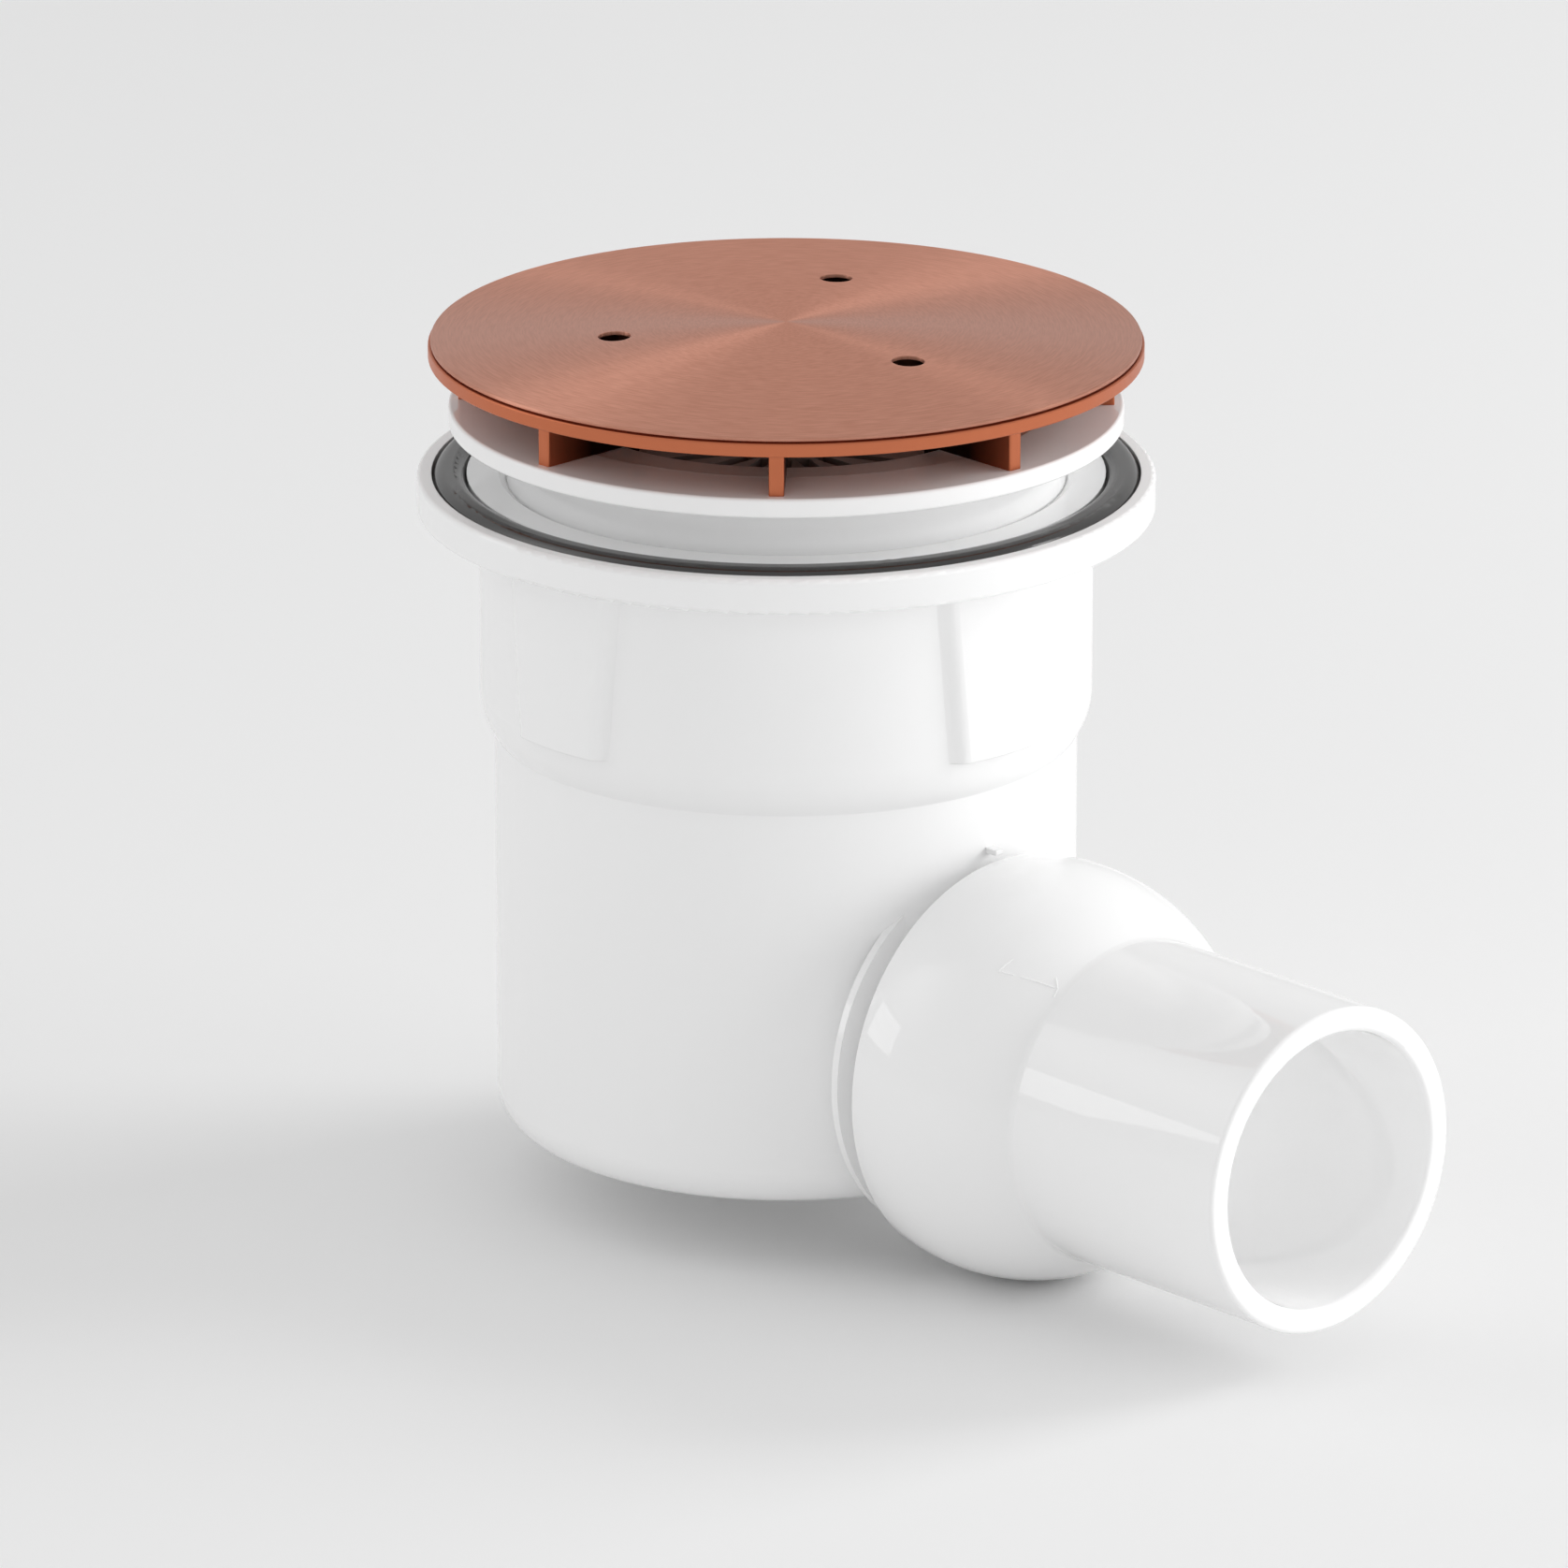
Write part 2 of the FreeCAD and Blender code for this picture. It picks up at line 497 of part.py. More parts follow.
def cover_plate():
    """Domed round plate of brushed sheet metal with three holes."""
    blank = domed_disc(COVER_RADIUS, PLATE_CROWN, 0, PLATE_BOTTOM - BEYOND)
    plate = blank.cut(domed_disc(COVER_RADIUS + BEYOND, PLATE_CROWN, COVER_SHEET, PLATE_BOTTOM - 2 * BEYOND))
    rim = ring_edges(plate, COVER_RADIUS, PLATE_EDGE_TOP)
    return plate.makeFillet(COVER_EDGE, rim).cut(cover_holes(COVER_HOLE_RADIUS))


def cover_fin():
    """One radial fin: its foot stands on the clamping flange and its tab centres the cover in the funnel."""
    tab_bottom = FUNNEL_TOP - FIN_TAB_DEPTH
    fin_top = PLATE_BOTTOM
    corners = [
        (FIN_INNER_RADIUS, tab_bottom), (FIN_TAB_RADIUS, tab_bottom), (FIN_TAB_RADIUS, RIM_TOP),
        (FIN_OUTER_RADIUS, RIM_TOP), (FIN_OUTER_RADIUS, fin_top), (FIN_INNER_RADIUS, fin_top)]
    points = [FreeCAD.Vector(radius, -FIN_THICKNESS / 2, height) for radius, height in corners]
    fin = Part.Face(Part.makePolygon(points + points[:1])).extrude(FreeCAD.Vector(0, FIN_THICKNESS, 0))
    ends = [edge for edge in fin.Edges if abs(edge.CenterOfMass.x - FIN_OUTER_RADIUS) < FIN_EDGE / 2
            and abs(abs(edge.CenterOfMass.y) - FIN_THICKNESS / 2) < FIN_EDGE / 2]
    return fin.makeFillet(FIN_EDGE, ends)


def cover_carrier():
    """Round carrier under the plate with a stepped rim, eight radial fins and three holes."""
    body = domed_disc(CARRIER_RADIUS - CARRIER_STEP_WIDTH, PLATE_CROWN, COVER_SHEET, CARRIER_BOTTOM)
    rim = turned([
        (0, CARRIER_BOTTOM), (CARRIER_RADIUS, CARRIER_BOTTOM, COVER_EDGE),
        (CARRIER_RADIUS, CARRIER_BOTTOM + CARRIER_RIM_HEIGHT, COVER_EDGE),
        (0, CARRIER_BOTTOM + CARRIER_RIM_HEIGHT)])
    hollow = domed_disc(FIN_OUTER_RADIUS, PLATE_CROWN, COVER_SHEET + CARRIER_THICKNESS, CARRIER_BOTTOM - BEYOND)
    shell = body.fuse(rim).cut(hollow)
    fin = cover_fin()
    fins = [turn(fin, FULL_TURN * index / FIN_COUNT) for index in range(FIN_COUNT)]
    holes = cover_holes(COVER_HOLE_RADIUS + CARRIER_HOLE_MARGIN)
    return shell.multiFuse(fins).cut(holes).removeSplitter()


def retainer_span():
    """The snap ring's two ends along the outlet's axis, from the ball's centre."""
    back = -DOME_RIM + RETAINER_LIP
    return back, back + RETAINER_WIDTH


def retaining_ring():
    """Split ring that snaps into the outlet's mouth behind the ball."""
    back, front = retainer_span()
    outer = DOME_BORE + RETAINER_DEPTH - RETAINER_PLAY
    ring = cylinder(outer, back + RETAINER_PLAY, front - RETAINER_PLAY).cut(
        Part.makeSphere(BALL_RADIUS + RUNNING_FIT))
    split = Part.makeBox(outer + BEYOND, RETAINER_GAP, RETAINER_WIDTH + BEYOND,
                         FreeCAD.Vector(0, -RETAINER_GAP / 2, back - BEYOND / 2))
    return along_outlet(ring.cut(split))


def slip_ring():
    """Thin ring, a slice of a ball, that the outlet slides on."""
    ring = ball_zone(DOME_BORE - RUNNING_FIT, SLIP_BACK, SLIP_FRONT)
    return along_outlet(ring.cut(Part.makeSphere(BALL_RADIUS + RUNNING_FIT)))


def seal_centre_radius():
    """Radius of the ball seal's centre line, so that the ring just clears the ball."""
    reach = BALL_RADIUS + SEAL_NIP + SEAL_SECTION
    return math.sqrt(reach ** 2 - SEAL_STATION ** 2)


def ball_seal():
    """Rubber ring between the ball and the outlet."""
    return along_outlet(round_ring(seal_centre_radius(), SEAL_SECTION, SEAL_STATION))


def swivel_outlet():
    """Domed socket and straight spigot in one moulding, with grooves for the seal and the snap ring."""
    junction = math.sqrt(DOME_RADIUS ** 2 - SPIGOT_RADIUS ** 2)
    outside = ball_zone(DOME_RADIUS, -DOME_RIM, DOME_RADIUS).fuse(cylinder(SPIGOT_RADIUS, 0, SPIGOT_REACH))
    outside = outside.removeSplitter()
    outside = outside.makeFillet(DOME_BLEND, ring_edges(outside, SPIGOT_RADIUS, junction))
    outside = outside.makeFillet(SPIGOT_EDGE, ring_edges(outside, SPIGOT_RADIUS, SPIGOT_REACH))
    back, front = retainer_span()
    snap_groove = cylinder(DOME_BORE + RETAINER_DEPTH, back, front)
    seal_half = SEAL_SECTION + RUNNING_FIT
    seal_groove = cylinder(seal_centre_radius() + seal_half, SEAL_STATION - seal_half, SEAL_STATION + seal_half)
    bore = cylinder(SPIGOT_BORE, 0, SPIGOT_REACH + BEYOND)
    hollow = outside.cut([Part.makeSphere(DOME_BORE), bore, snap_groove, seal_groove])
    hollow = hollow.makeFillet(SPIGOT_EDGE, ring_edges(hollow, SPIGOT_BORE, SPIGOT_REACH))
    return along_outlet(hollow)


PIECES = {
    "cover_plate": cover_plate,
    "cover_carrier": cover_carrier,
    "clamp_flange": clamp_flange,
    "neck_ring": neck_ring,
    "strainer": strainer,
    "dip_tube": dip_tube,
    "skirt_ring": skirt_ring,
    "seal_cup": seal_cup,
    "tray_gasket": tray_gasket,
    "trap_body": trap_body,
    "slip_ring": slip_ring,
    "ball_seal": ball_seal,
    "retaining_ring": retaining_ring,
    "swivel_outlet": swivel_outlet,
}

for name, make in PIECES.items():
    piece = make()
    piece.exportStep(os.path.join("parts", name + ".step"))
    print(name, piece.isValid(), len(piece.Solids), round(piece.Volume, 1))
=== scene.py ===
import json
import math
import bpy
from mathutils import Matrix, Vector


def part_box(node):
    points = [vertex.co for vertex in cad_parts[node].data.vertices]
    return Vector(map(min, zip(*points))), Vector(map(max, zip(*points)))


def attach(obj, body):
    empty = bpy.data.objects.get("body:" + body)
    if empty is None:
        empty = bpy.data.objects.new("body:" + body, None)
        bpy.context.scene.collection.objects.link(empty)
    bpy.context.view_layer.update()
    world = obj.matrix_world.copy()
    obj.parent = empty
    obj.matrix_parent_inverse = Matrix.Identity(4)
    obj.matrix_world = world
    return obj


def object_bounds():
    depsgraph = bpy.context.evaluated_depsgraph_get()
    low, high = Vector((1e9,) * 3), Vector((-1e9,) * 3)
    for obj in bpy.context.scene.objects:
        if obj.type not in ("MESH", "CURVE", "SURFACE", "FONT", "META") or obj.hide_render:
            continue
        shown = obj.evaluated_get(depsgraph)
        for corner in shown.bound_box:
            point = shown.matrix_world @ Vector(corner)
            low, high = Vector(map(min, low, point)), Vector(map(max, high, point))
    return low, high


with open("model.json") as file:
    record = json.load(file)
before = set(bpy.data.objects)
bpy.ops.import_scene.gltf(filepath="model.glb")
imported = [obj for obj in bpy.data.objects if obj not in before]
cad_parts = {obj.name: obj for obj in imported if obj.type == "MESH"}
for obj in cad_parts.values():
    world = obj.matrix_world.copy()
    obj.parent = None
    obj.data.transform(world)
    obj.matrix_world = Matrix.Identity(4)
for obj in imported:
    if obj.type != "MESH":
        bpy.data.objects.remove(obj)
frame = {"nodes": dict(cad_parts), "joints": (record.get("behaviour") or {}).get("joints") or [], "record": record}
nodes = frame["nodes"]
low_before, high_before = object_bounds()
MM = 0.001

# White mouldings: trap body, clamping flange, swivel outlet and the snap ring in its mouth.
# They are injection moulded in polypropylene with polished walls, so the surface is glossy
# with a very faint waviness, and every edge is broken by the mould's small radius.
WHITE_COLOUR = (0.955, 0.955, 0.955, 1)
WHITE_ROUGHNESS = 0.02
WHITE_ROUGHNESS_SPREAD = 0.008
WHITE_IOR = 1.5
WHITE_EDGE_RADIUS = 0.25 * MM
GLOSS_PATCHES_PER_METRE = 60.0
WAVES_PER_METRE = 35.0
WAVE_HEIGHT = 0.004 * MM


def new_material(name):
    """A material with its node tree, principled shader and object coordinates."""
    material = bpy.data.materials.new(name)
    material.use_nodes = True
    tree = material.node_tree
    shader = tree.nodes["Principled BSDF"]
    place = tree.nodes.new("ShaderNodeTexCoord")
    return material, tree, shader, place.outputs["Object"]


def noise(tree, vector, scale, detail=3.0):
    """Noise texture over the given coordinates."""
    node = tree.nodes.new("ShaderNodeTexNoise")
    node.inputs["Scale"].default_value = scale
    node.inputs["Detail"].default_value = detail
    tree.links.new(vector, node.inputs["Vector"])
    return node.outputs["Fac"]


def spread(tree, value, low, high):
    """Maps a value from 0..1 onto low..high."""
    node = tree.nodes.new("ShaderNodeMapRange")
    node.inputs["To Min"].default_value = low
    node.inputs["To Max"].default_value = high
    tree.links.new(value, node.inputs["Value"])
    return node.outputs["Result"]


def bump(tree, height, distance, strength=1.0, normal=None):
    """Bump node whose height is in metres times distance."""
    node = tree.nodes.new("ShaderNodeBump")
    node.inputs["Distance"].default_value = distance
    node.inputs["Strength"].default_value = strength
    tree.links.new(height, node.inputs["Height"])
    if normal is not None:
        tree.links.new(normal, node.inputs["Normal"])
    return node.outputs["Normal"]


def soft_edges(tree, radius):
    """Normal that rounds off edges by the given radius."""
    node = tree.nodes.new("ShaderNodeBevel")
    node.samples = 6
    node.inputs["Radius"].default_value = radius
    return node.outputs["Normal"]


def wear(node_name, material):
    """Puts a material on a CAD node."""
    nodes[node_name].material_slots[0].material = material


white, tree, shader, place = new_material("white_moulding")
shader.inputs["Base Color"].default_value = WHITE_COLOUR
shader.inputs["IOR"].default_value = WHITE_IOR
gloss = spread(tree, noise(tree, place, GLOSS_PATCHES_PER_METRE),
               WHITE_ROUGHNESS - WHITE_ROUGHNESS_SPREAD, WHITE_ROUGHNESS + WHITE_ROUGHNESS_SPREAD)
tree.links.new(gloss, shader.inputs["Roughness"])
waves = noise(tree, place, WAVES_PER_METRE, 2.0)
waviness = bump(tree, waves, WAVE_HEIGHT, 1.0, soft_edges(tree, WHITE_EDGE_RADIUS))
tree.links.new(waviness, shader.inputs["Normal"])
for name in ("trap_body", "clamp_flange", "swivel_outlet", "retaining_ring"):
    wear(name, white)

# Neck lip: the real neck is screwed into the body, and the CAD model has a smooth fit with a gap instead.
# A hair-thin white ring just inside the socket's mouth stands in for the thread and closes that gap,
# because the photo shows no dark line round the neck.
NECK_LIP_RADIUS = 42.675 * MM
NECK_LIP_SECTION = 0.07 * MM
NECK_LIP_HEIGHT = 103.02 * MM
bpy.ops.mesh.primitive_torus_add(major_radius=NECK_LIP_RADIUS, minor_radius=NECK_LIP_SECTION,
                                 major_segments=180, minor_segments=8, location=(0, 0, NECK_LIP_HEIGHT))
neck_lip = bpy.context.object
neck_lip.name = "neck_lip"
neck_lip.data.materials.append(white)
bpy.ops.object.shade_smooth()
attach(neck_lip, "trap")

# Inner mouldings: dip tube, seal cup and slip ring.
# They are hidden in the photo, and are given the plain satin finish that such mouldings have.
INNER_COLOUR = (0.82, 0.82, 0.81, 1)
INNER_ROUGHNESS_LOW = 0.34
INNER_ROUGHNESS_HIGH = 0.46
SATIN_GRAINS_PER_METRE = 400.0
inner, tree, shader, place = new_material("inner_moulding")
shader.inputs["Base Color"].default_value = INNER_COLOUR
rough = spread(tree, noise(tree, place, SATIN_GRAINS_PER_METRE), INNER_ROUGHNESS_LOW, INNER_ROUGHNESS_HIGH)
tree.links.new(rough, shader.inputs["Roughness"])
for name in ("dip_tube", "seal_cup", "slip_ring"):
    wear(name, inner)

# Strainer: slotted disc with a knob, which lies on the funnel's cone and is lifted out by hand.
# Its real colour is unknown. The dark grey is painted shade, taken because the photo shows only a dark brown shade
# there.
STRAINER_COLOUR = (0.22, 0.205, 0.195, 1)
STRAINER_ROUGHNESS_LOW = 0.38
STRAINER_ROUGHNESS_HIGH = 0.50
sieve, tree, shader, place = new_material("strainer_moulding")
shader.inputs["Base Color"].default_value = STRAINER_COLOUR
grains = noise(tree, place, SATIN_GRAINS_PER_METRE)
rough = spread(tree, grains, STRAINER_ROUGHNESS_LOW, STRAINER_ROUGHNESS_HIGH)
tree.links.new(rough, shader.inputs["Roughness"])
wear("strainer", sieve)

# Rubber: the tray gasket in its groove, and the rings that seal neck, skirt and ball.
# The gasket is moulded in dark grey rubber with a slight sheen on its rounded crown.
RUBBER_COLOUR = (0.020, 0.019, 0.018, 1)
RUBBER_SPECULAR = 0.9
RUBBER_ROUGHNESS_LOW = 0.12
RUBBER_ROUGHNESS_HIGH = 0.18
RUBBER_PATCHES_PER_METRE = 300.0
RUBBER_PORES_PER_METRE = 900.0
RUBBER_PORE_HEIGHT = 0.02 * MM
RUBBER_PORE_STRENGTH = 0.6
rubber, tree, shader, place = new_material("dark_rubber")
shader.inputs["Base Color"].default_value = RUBBER_COLOUR
shader.inputs["Specular IOR Level"].default_value = RUBBER_SPECULAR
patches = noise(tree, place, RUBBER_PATCHES_PER_METRE)
sheen = spread(tree, patches, RUBBER_ROUGHNESS_LOW, RUBBER_ROUGHNESS_HIGH)
tree.links.new(sheen, shader.inputs["Roughness"])
skin = bump(tree, noise(tree, place, RUBBER_PORES_PER_METRE), RUBBER_PORE_HEIGHT, RUBBER_PORE_STRENGTH)
tree.links.new(skin, shader.inputs["Normal"])
for name in ("tray_gasket", "neck_ring", "skirt_ring", "ball_seal"):
    wear(name, rubber)

# Cover plate: copper-coloured sheet metal, pressed to a flat dome and brushed on a lathe.
# The brush leaves fine rings round the centre, so a light spreads into a narrow radial fan.
PLATE_COLOUR_DARK = (0.70, 0.325, 0.225, 1)
PLATE_COLOUR_LIGHT = (0.81, 0.405, 0.295, 1)
PLATE_ROUGHNESS = 0.45
PLATE_ROUGHNESS_SPREAD = 0.06
PLATE_ANISOTROPY = 0.96
PLATE_EDGE_RADIUS = 0.3 * MM
RINGS_PER_METRE = 3200.0
STREAKS_ROUND = 12.0
RING_CONTRAST_LOW = -1.2
RING_CONTRAST_HIGH = 2.2
RING_HEIGHT = 0.004 * MM
RING_STRENGTH = 0.5

plate, tree, shader, place = new_material("brushed_copper")
shader.inputs["Metallic"].default_value = 1.0
shader.inputs["Anisotropic"].default_value = PLATE_ANISOTROPY
shader.inputs["Anisotropic Rotation"].default_value = 0.25
around = tree.nodes.new("ShaderNodeTangent")
around.direction_type = "RADIAL"
around.axis = "Z"
tree.links.new(around.outputs["Tangent"], shader.inputs["Tangent"])


def from_axis(tree, place):
    """The flat vector from the trap's upright axis to a place, and its length."""
    flat = tree.nodes.new("ShaderNodeVectorMath")
    flat.operation = "MULTIPLY"
    flat.inputs[1].default_value = (1, 1, 0)
    tree.links.new(place, flat.inputs[0])
    radius = tree.nodes.new("ShaderNodeVectorMath")
    radius.operation = "LENGTH"
    tree.links.new(flat.outputs["Vector"], radius.inputs[0])
    return flat.outputs["Vector"], radius.outputs["Value"]


def brushed_coordinates(tree, place, per_metre, streaks):
    """Coordinates that run fast with the radius and slowly round the axis, for lathe-brushed rings."""
    flat, radius = from_axis(tree, place)
    direction = tree.nodes.new("ShaderNodeVectorMath")
    direction.operation = "NORMALIZE"
    tree.links.new(flat, direction.inputs[0])
    slow = tree.nodes.new("ShaderNodeVectorMath")
    slow.operation = "SCALE"
    slow.inputs["Scale"].default_value = streaks
    tree.links.new(direction.outputs["Vector"], slow.inputs[0])
    fast = tree.nodes.new("ShaderNodeMath")
    fast.operation = "MULTIPLY"
    fast.inputs[1].default_value = per_metre
    tree.links.new(radius, fast.inputs[0])
    upward = tree.nodes.new("ShaderNodeCombineXYZ")
    tree.links.new(fast.outputs["Value"], upward.inputs["Z"])
    both = tree.nodes.new("ShaderNodeVectorMath")
    both.operation = "ADD"
    tree.links.new(slow.outputs["Vector"], both.inputs[0])
    tree.links.new(upward.outputs["Vector"], both.inputs[1])
    return both.outputs["Vector"]


def blend(tree, share, start, end):
    """Colour that goes from start, a colour or another node's result, to end with the share."""
    mix = tree.nodes.new("ShaderNodeMix")
    mix.data_type = "RGBA"
    if isinstance(start, tuple):
        mix.inputs["A"].default_value = start
    else:
        tree.links.new(start, mix.inputs["A"])
    mix.inputs["B"].default_value = end
    tree.links.new(share, mix.inputs["Factor"])
    return mix.outputs["Result"]


rings = noise(tree, brushed_coordinates(tree, place, RINGS_PER_METRE, STREAKS_ROUND), 1.0, 4.0)
contrast = spread(tree, rings, RING_CONTRAST_LOW, RING_CONTRAST_HIGH)
tint = blend(tree, contrast, PLATE_COLOUR_DARK, PLATE_COLOUR_LIGHT)
tree.links.new(tint, shader.inputs["Base Color"])
rough = spread(tree, rings,
               PLATE_ROUGHNESS - PLATE_ROUGHNESS_SPREAD, PLATE_ROUGHNESS + PLATE_ROUGHNESS_SPREAD)
tree.links.new(rough, shader.inputs["Roughness"])
brushing = bump(tree, rings, RING_HEIGHT, RING_STRENGTH, soft_edges(tree, PLATE_EDGE_RADIUS))
tree.links.new(brushing, shader.inputs["Normal"])
wear("cover_plate", plate)

# Cover carrier: the round carrier under the plate, taken as moulded with its eight fins in one piece.
# Its rim, underside and fin ends have a smooth, more orange copper finish than the brushed plate. The
# fins go dark towards the inside in the photo. That is painted shade here: inwards from the rim, all faces
# but those that point down fade to near black.
CARRIER_COLOUR = (0.60, 0.185, 0.090, 1)
# Near black for the painted shade under the cover, and the radii over which that shade fades out.
INNER_SHADE_COLOUR = (0.030, 0.012, 0.007, 1)
INNER_SHADE_FADES_FROM = 41.0 * MM
INNER_SHADE_GONE_AT = 50.0 * MM
UNDERSIDE_STARTS = -0.5
UNDERSIDE_IS_FULL = -0.9
CARRIER_ROUGHNESS_LOW = 0.36
CARRIER_ROUGHNESS_HIGH = 0.46
CARRIER_PATCHES_PER_METRE = 500.0
CARRIER_GRAINS_PER_METRE = 1500.0
CARRIER_GRAIN_HEIGHT = 0.01 * MM
CARRIER_GRAIN_STRENGTH = 0.5
CARRIER_EDGE_RADIUS = 0.15 * MM


def rise(tree, value, low, high):
    """Goes from 0 to 1 while the value goes from low to high."""
    share = tree.nodes.new("ShaderNodeMapRange")
    share.inputs["From Min"].default_value = low
    share.inputs["From Max"].default_value = high
    tree.links.new(value, share.inputs["Value"])
    return share.outputs["Result"]


def facing_down(tree):
    """1 on surfaces that face down and 0 on upright walls and surfaces that face up."""
    parts = tree.nodes.new("ShaderNodeSeparateXYZ")
    tree.links.new(tree.nodes.new("ShaderNodeNewGeometry").outputs["Normal"], parts.inputs["Vector"])
    return rise(tree, parts.outputs["Z"], UNDERSIDE_STARTS, UNDERSIDE_IS_FULL)


carrier, tree, shader, place = new_material("copper_with_painted_shade")
# Painted shade: the copper fades to near black inwards from the rim, except on faces that point down.
shade_fade_outwards = rise(tree, from_axis(tree, place)[1], INNER_SHADE_FADES_FROM, INNER_SHADE_GONE_AT)
copper_with_inner_shade = blend(tree, shade_fade_outwards, INNER_SHADE_COLOUR, CARRIER_COLOUR)
carrier_colour_and_shade = blend(tree, facing_down(tree), copper_with_inner_shade, CARRIER_COLOUR)
tree.links.new(carrier_colour_and_shade, shader.inputs["Base Color"])
shader.inputs["Metallic"].default_value = 1.0
patches = noise(tree, place, CARRIER_PATCHES_PER_METRE)
satin = spread(tree, patches, CARRIER_ROUGHNESS_LOW, CARRIER_ROUGHNESS_HIGH)
tree.links.new(satin, shader.inputs["Roughness"])
grain = bump(tree, noise(tree, place, CARRIER_GRAINS_PER_METRE), CARRIER_GRAIN_HEIGHT, CARRIER_GRAIN_STRENGTH,
             soft_edges(tree, CARRIER_EDGE_RADIUS))
tree.links.new(grain, shader.inputs["Normal"])
wear("cover_carrier", carrier)

# Swivel arrow: a small double-headed arrow in raised thin ribs, moulded on the outlet's dome.
# The ribs are shinier than the dome and a touch whiter, and the whiter colour is a painted highlight. They still
# stand out less than in the photo.
OUTLET_AXIS_HEIGHT = frame["record"]["mounts"][3]["pos_m"][2]
BALL_X = frame["joints"][0]["pos_m"][0]
DOME_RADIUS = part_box("swivel_outlet")[1].y
# Painted highlight: the ribs' pure white is brighter than the dome's white.
RIB_PAINTED_HIGHLIGHT = (1.0, 1.0, 1.0, 1)
RIB_SPECULAR = 1.0
RIB_RADIUS = 0.15 * MM
LEFT_TIP = (11.9 * MM, 40.0)
LEFT_UPPER = (12.5 * MM, 34.8)
LEFT_LOWER = (14.1 * MM, 38.8)
SHAFT_START = (15.0 * MM, 38.2)
SHAFT_END = (19.3 * MM, 35.1)
RIGHT_TIP = (19.7 * MM, 34.8)
RIGHT_UPPER = (18.7 * MM, 32.0)
RIGHT_LOWER = (19.9 * MM, 38.0)


def on_dome(point):
    """The place on the dome's sphere for a distance along the outlet and an angle down from its top."""
    along, angle = point
    ring = math.sqrt(DOME_RADIUS ** 2 - along ** 2)
    down = math.radians(angle)
    return Vector((BALL_X + along, -ring * math.sin(down), OUTLET_AXIS_HEIGHT + ring * math.cos(down)))


ribs, tree, shader, place = new_material("arrow_ribs")
shader.inputs["Base Color"].default_value = RIB_PAINTED_HIGHLIGHT
shader.inputs["Roughness"].default_value = WHITE_ROUGHNESS
shader.inputs["Specular IOR Level"].default_value = RIB_SPECULAR


def rib(name, start, end, steps=8):
    """A thin raised rib along the dome from start to end, as a curve with a round section."""
    curve = bpy.data.curves.new(name, "CURVE")
    curve.dimensions = "3D"
    curve.bevel_depth = RIB_RADIUS
    curve.bevel_resolution = 3
    curve.use_fill_caps = True
    line = curve.splines.new("POLY")
    line.points.add(steps)
    for index in range(steps + 1):
        share = index / steps
        along = start[0] + (end[0] - start[0]) * share
        angle = start[1] + (end[1] - start[1]) * share
        line.points[index].co = (*on_dome((along, angle)), 1)
    made = bpy.data.objects.new(name, curve)
    bpy.context.scene.collection.objects.link(made)
    made.data.materials.append(ribs)
    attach(made, "outlet")
    return made


rib("arrow_left_upper", LEFT_TIP, LEFT_UPPER)
rib("arrow_left_lower", LEFT_TIP, LEFT_LOWER)
rib("arrow_shaft", SHAFT_START, SHAFT_END)
rib("arrow_right_upper", RIGHT_TIP, RIGHT_UPPER)
rib("arrow_right_lower", RIGHT_TIP, RIGHT_LOWER)

# Floor: a plain pale studio sweep, level with the lowest point of the outlet's dome.
# Its colour is even, so the soft gradient over the picture comes from the lamps alone.
FLOOR_COLOUR = (0.90, 0.90, 0.90, 1)
FLOOR_ROUGHNESS = 0.9
FLOOR_SPECULAR = 0.1
FLOOR_SIZE = 12.0
floor_material, tree, shader, place = new_material("floor")
shader.inputs["Base Color"].default_value = FLOOR_COLOUR
shader.inputs["Roughness"].default_value = FLOOR_ROUGHNESS
shader.inputs["Specular IOR Level"].default_value = FLOOR_SPECULAR
bpy.ops.mesh.primitive_plane_add(size=FLOOR_SIZE, location=(0, 0, low_before.z))
floor = bpy.context.object
floor.name = "floor"
floor.data.materials.append(floor_material)

# Camera: a long lens from the front right, looking down on the trap by about eighteen degrees.
# The angles, the distance and the focal length were fitted to the photo's ellipses.
PHOTO_WIDTH_PX = 1676
FOCAL_LENGTH_PX = 12874.5
SENSOR_MM = 36.0
CAMERA_DISTANCE = 1.752
CAMERA_HEIGHT = 0.6385
CAMERA_AZIMUTH = math.radians(-43.3)
CAMERA_PITCH = math.radians(18.47)
CAMERA_OFFSET = -0.34 * MM

away = Vector((math.cos(CAMERA_AZIMUTH), math.sin(CAMERA_AZIMUTH), 0))
sideways = Vector((-away.y, away.x, 0))
camera_data = bpy.data.cameras.new("camera")
camera_data.sensor_width = SENSOR_MM
camera_data.lens = FOCAL_LENGTH_PX * SENSOR_MM / PHOTO_WIDTH_PX
camera_data.clip_end = 20
camera = bpy.data.objects.new("camera", camera_data)
camera.location = away * CAMERA_DISTANCE + sideways * CAMERA_OFFSET + Vector((0, 0, CAMERA_HEIGHT))
camera.rotation_euler = (math.pi / 2 - CAMERA_PITCH, 0, CAMERA_AZIMUTH + math.pi / 2)
bpy.context.scene.collection.objects.link(camera)
bpy.context.scene.camera = camera

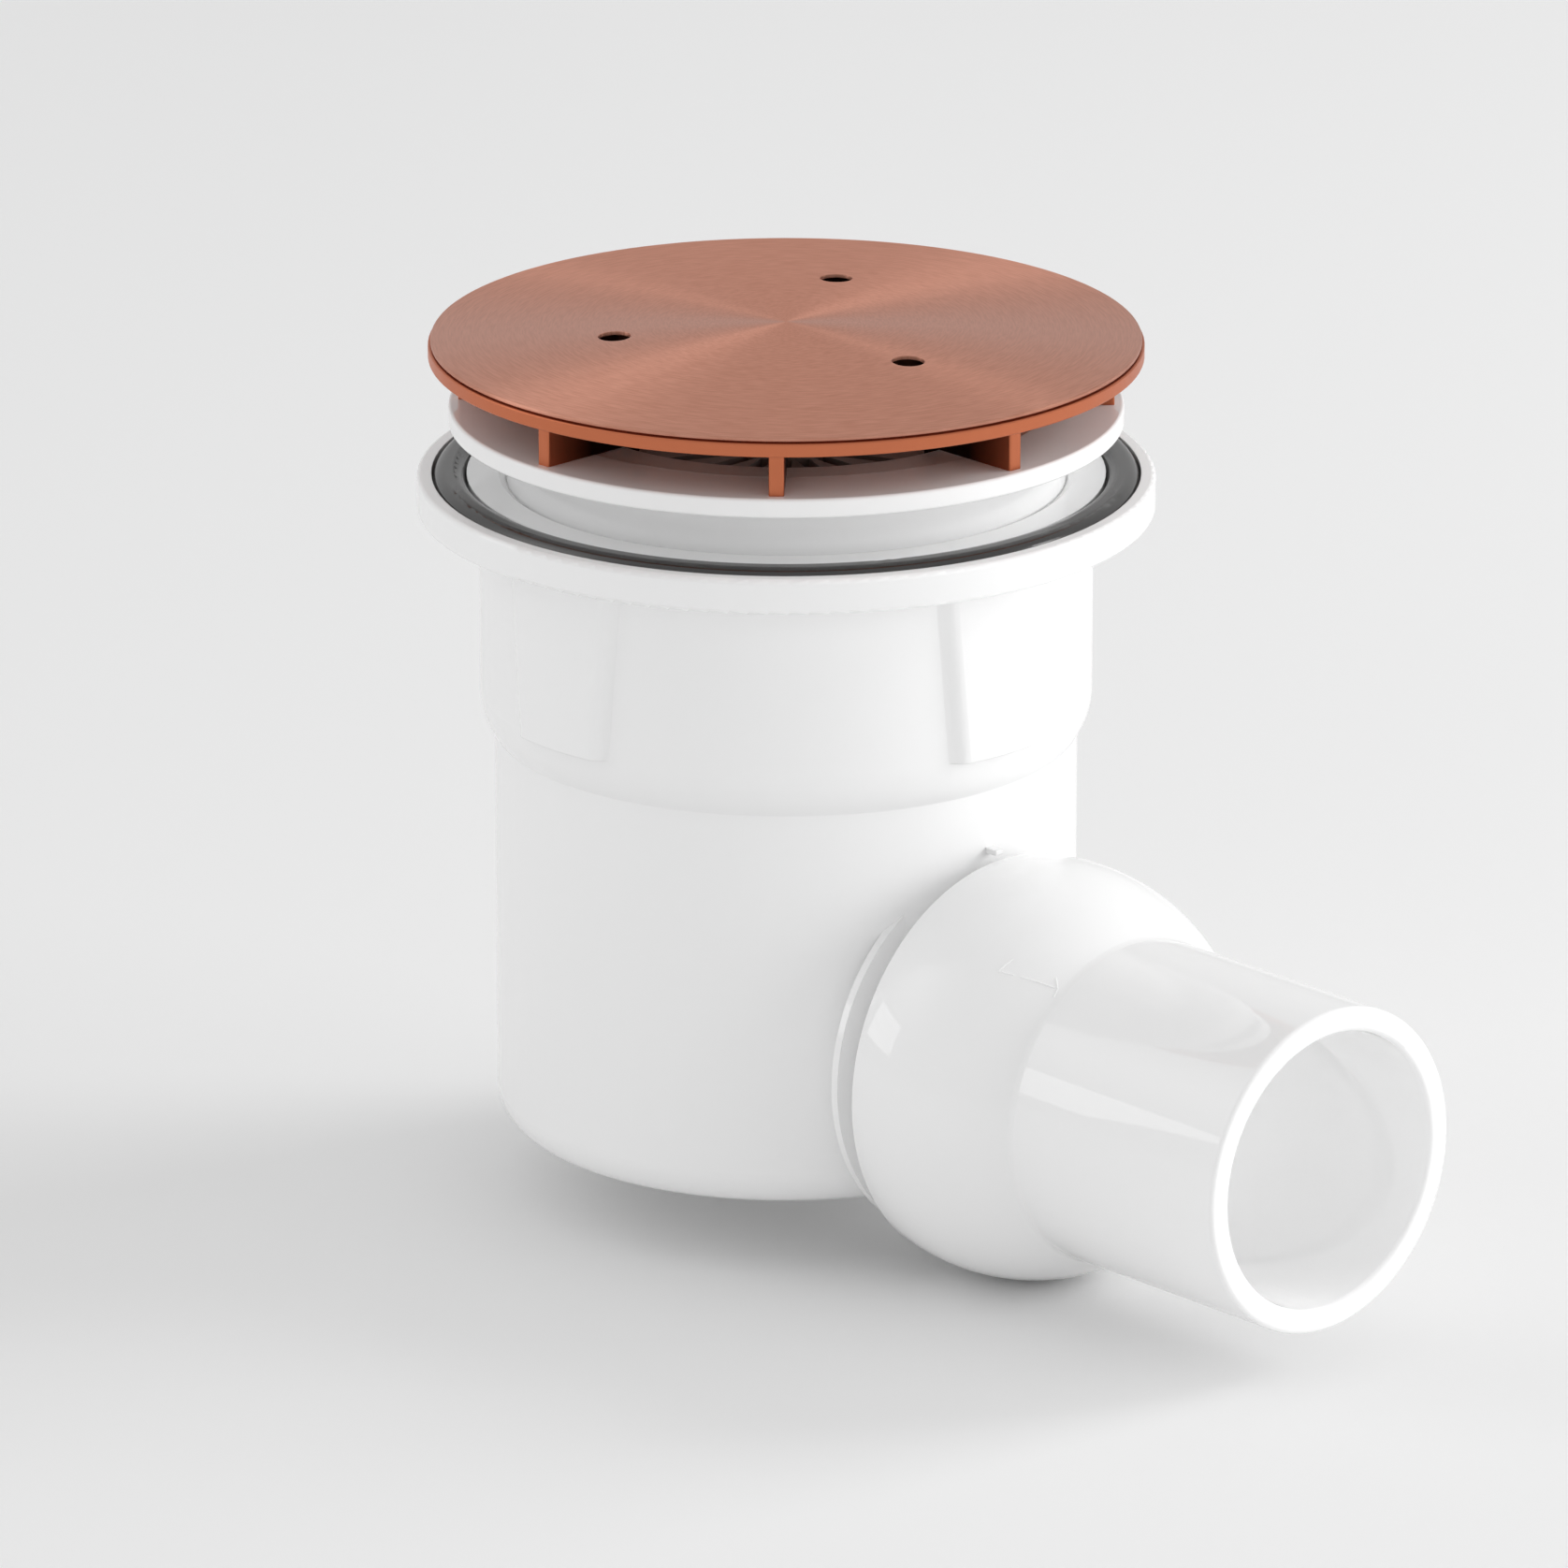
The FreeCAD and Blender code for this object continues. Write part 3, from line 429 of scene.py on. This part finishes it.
# Lamps: a broad low key from behind on the right, a weaker one beside it, a weak fill from the front, a
# weak one from above, and a small soft box low on the left that draws the bright patches on dome and
# spigot. Only this last one shows in reflections. A faint lamp inside the spigot brightens its bore, as
# light through the thin white wall may do in the photo.
KEY_AZIMUTH = CAMERA_AZIMUTH + math.radians(105)
KEY_ELEVATION = math.radians(22)
KEY_DISTANCE = 1.8
KEY_SIZE = 0.9
KEY_POWER = 12.9
SECOND_AZIMUTH = CAMERA_AZIMUTH + math.radians(72)
SECOND_ELEVATION = math.radians(10)
SECOND_DISTANCE = 1.6
SECOND_SIZE = 0.8
SECOND_POWER = 5.9
FILL_AZIMUTH = CAMERA_AZIMUTH - math.radians(19)
FILL_ELEVATION = math.radians(13.6)
FILL_DISTANCE = 1.6
FILL_SIZE = 1.2
FILL_POWER = 1.8
TOP_ELEVATION = math.radians(80)
TOP_DISTANCE = 1.6
TOP_SIZE = 1.4
TOP_POWER = 1.1
SIDE_AZIMUTH = CAMERA_AZIMUTH - math.radians(96)
SIDE_ELEVATION = math.radians(10.5)
SIDE_DISTANCE = 1.0
SIDE_WIDTH = 0.38
SIDE_HEIGHT = 0.24
SIDE_POWER = 0.40
BORE_X = 0.072
BORE_SIZE = 0.030
BORE_POWER = 0.0036


def soft_box(name, azimuth, elevation, distance, width, height, power):
    """A rectangular lamp that faces the object's middle."""
    lamp_data = bpy.data.lights.new(name, "AREA")
    lamp_data.shape = "RECTANGLE"
    lamp_data.size = width
    lamp_data.size_y = height
    lamp_data.energy = power
    lamp = bpy.data.objects.new(name, lamp_data)
    direction = Vector((math.cos(azimuth) * math.cos(elevation), math.sin(azimuth) * math.cos(elevation),
                        math.sin(elevation)))
    centre = (low_before + high_before) / 2
    lamp.location = centre + direction * distance
    lamp.rotation_mode = "QUATERNION"
    lamp.rotation_quaternion = direction.to_track_quat("Z", "Y")
    bpy.context.scene.collection.objects.link(lamp)
    return lamp


key = soft_box("key_lamp", KEY_AZIMUTH, KEY_ELEVATION, KEY_DISTANCE, KEY_SIZE, KEY_SIZE, KEY_POWER)
second = soft_box("second_lamp", SECOND_AZIMUTH, SECOND_ELEVATION, SECOND_DISTANCE, SECOND_SIZE, SECOND_SIZE,
                  SECOND_POWER)
fill = soft_box("fill_lamp", FILL_AZIMUTH, FILL_ELEVATION, FILL_DISTANCE, FILL_SIZE, FILL_SIZE, FILL_POWER)
top = soft_box("top_lamp", CAMERA_AZIMUTH, TOP_ELEVATION, TOP_DISTANCE, TOP_SIZE, TOP_SIZE, TOP_POWER)
side = soft_box("side_lamp", SIDE_AZIMUTH, SIDE_ELEVATION, SIDE_DISTANCE, SIDE_WIDTH, SIDE_HEIGHT, SIDE_POWER)
bore = soft_box("bore_lamp", 0, 0, 0, BORE_SIZE, BORE_SIZE, BORE_POWER)
bore.location = (BORE_X, 0, OUTLET_AXIS_HEIGHT)
bore.rotation_quaternion = Vector((-1, 0, 0)).to_track_quat("Z", "Y")
for lamp in (key, second, fill, top, bore):
    lamp.visible_glossy = False
bore.visible_camera = False

# Surrounding: even white with two soft glows. The left one draws the bright fan on the brushed plate. The
# right one was meant for the bright line along the plate's right edge, which the render doesn't show.
WORLD_STRENGTH = 0.61
LEFT_GLOW = (CAMERA_AZIMUTH - math.radians(98), math.radians(37), 20.0, 0.9)
RIGHT_GLOW = (CAMERA_AZIMUTH + math.radians(100), math.radians(30), 300.0, 5.0)


def glow(tree, outward, azimuth, elevation, narrowness, strength):
    """Strength that falls off round one direction of the surrounding."""
    facing = tree.nodes.new("ShaderNodeVectorMath")
    facing.operation = "DOT_PRODUCT"
    facing.inputs[1].default_value = (
        math.cos(azimuth) * math.cos(elevation), math.sin(azimuth) * math.cos(elevation), math.sin(elevation))
    tree.links.new(outward, facing.inputs[0])
    front = tree.nodes.new("ShaderNodeClamp")
    tree.links.new(facing.outputs["Value"], front.inputs["Value"])
    falloff = tree.nodes.new("ShaderNodeMath")
    falloff.operation = "POWER"
    falloff.inputs[1].default_value = narrowness
    tree.links.new(front.outputs["Result"], falloff.inputs[0])
    return spread(tree, falloff.outputs["Value"], 0.0, strength)


world = bpy.data.worlds.new("studio")
world.use_nodes = True
tree = world.node_tree
outward = tree.nodes.new("ShaderNodeTexCoord").outputs["Generated"]
glows = tree.nodes.new("ShaderNodeMath")
glows.operation = "ADD"
tree.links.new(glow(tree, outward, *LEFT_GLOW), glows.inputs[0])
tree.links.new(glow(tree, outward, *RIGHT_GLOW), glows.inputs[1])
brightness = tree.nodes.new("ShaderNodeMath")
brightness.operation = "ADD"
brightness.inputs[1].default_value = WORLD_STRENGTH
tree.links.new(glows.outputs["Value"], brightness.inputs[0])
tree.links.new(brightness.outputs["Value"], tree.nodes["Background"].inputs["Strength"])
tree.nodes["Background"].inputs["Color"].default_value = (1, 1, 1, 1)
bpy.context.scene.world = world
bpy.context.scene.view_settings.view_transform = "Standard"
